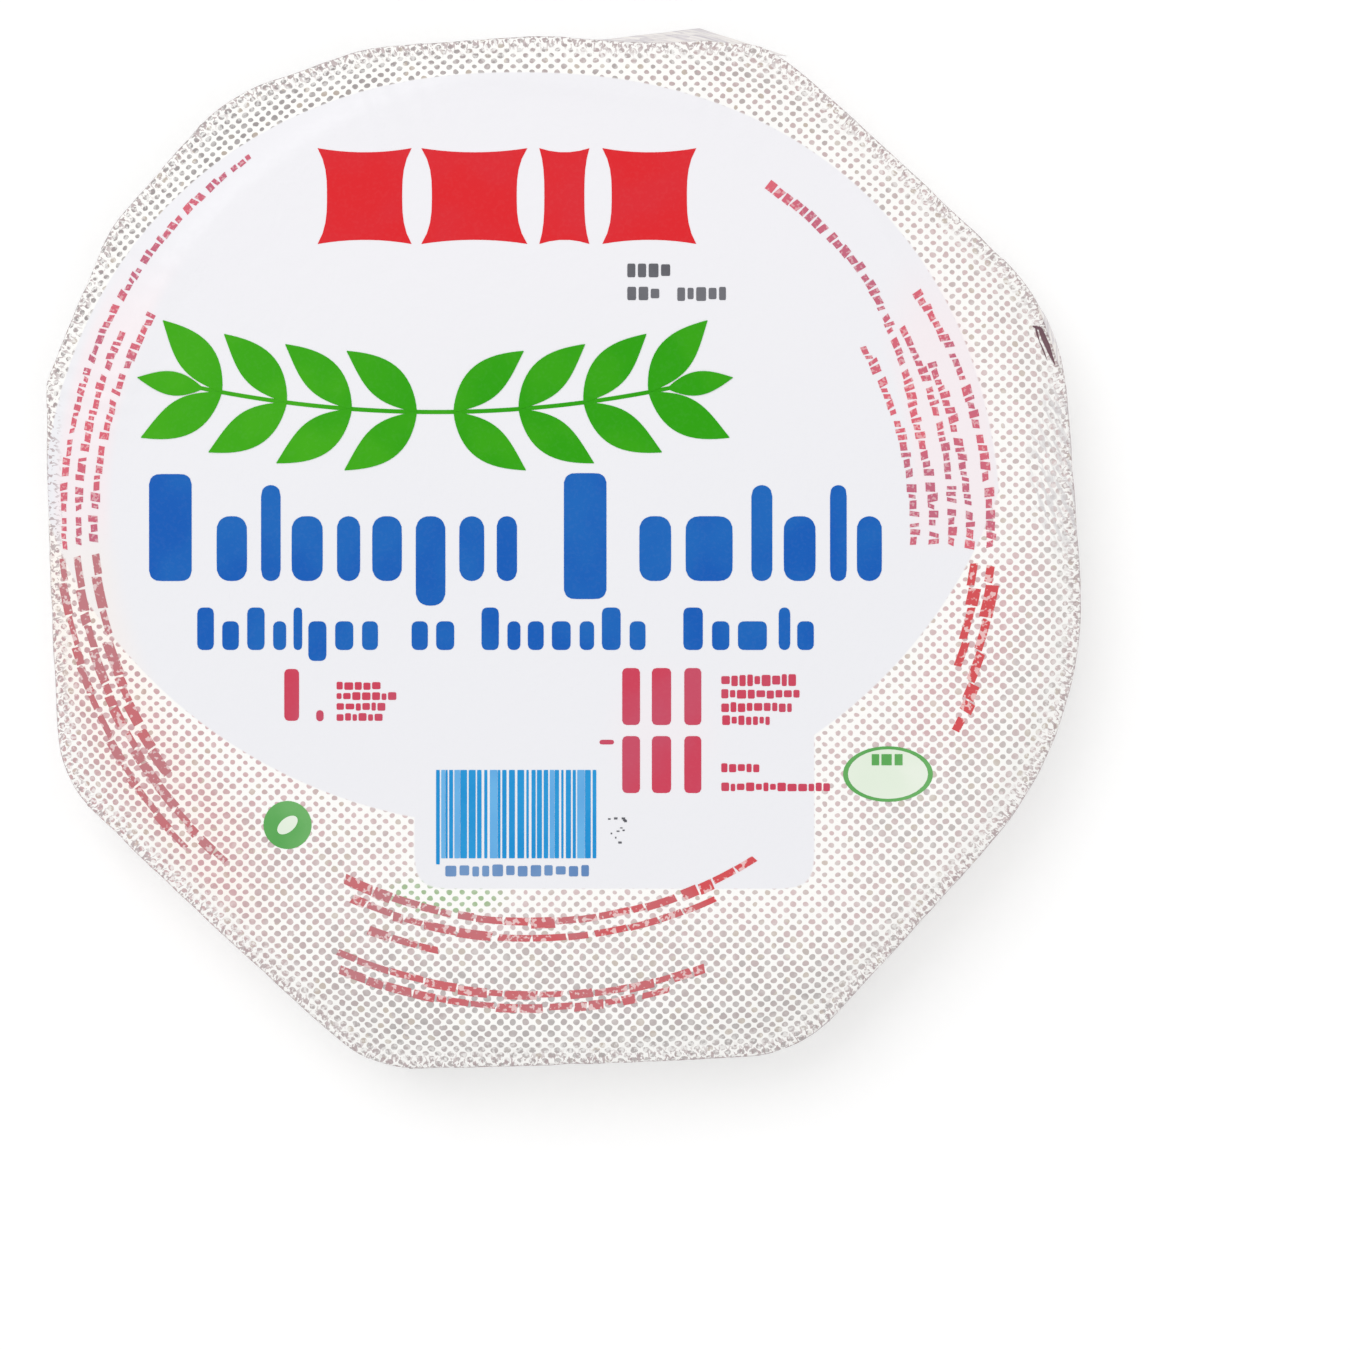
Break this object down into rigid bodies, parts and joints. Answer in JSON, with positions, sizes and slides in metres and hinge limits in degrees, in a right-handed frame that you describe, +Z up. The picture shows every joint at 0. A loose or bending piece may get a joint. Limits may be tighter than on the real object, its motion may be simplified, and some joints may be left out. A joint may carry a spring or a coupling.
{
  "type": "brie wheel",
  "caption": "Whole round brie in a shut printed wrap, folded into soft flat facets round the side, label side up.",
  "frame": {"origin": "on the ground under the middle of the pack", "axes": "+Z up out of the label, +Y towards the top of the label, +X to its right"},
  "size_m": [0.2268, 0.2282, 0.03],
  "materials": {
    "wrap": "satin coated wrap, printed"
  },
  "bodies": {
    "root": {"wrapped_wheel": "wrap"}
  },
  "joints": []
}
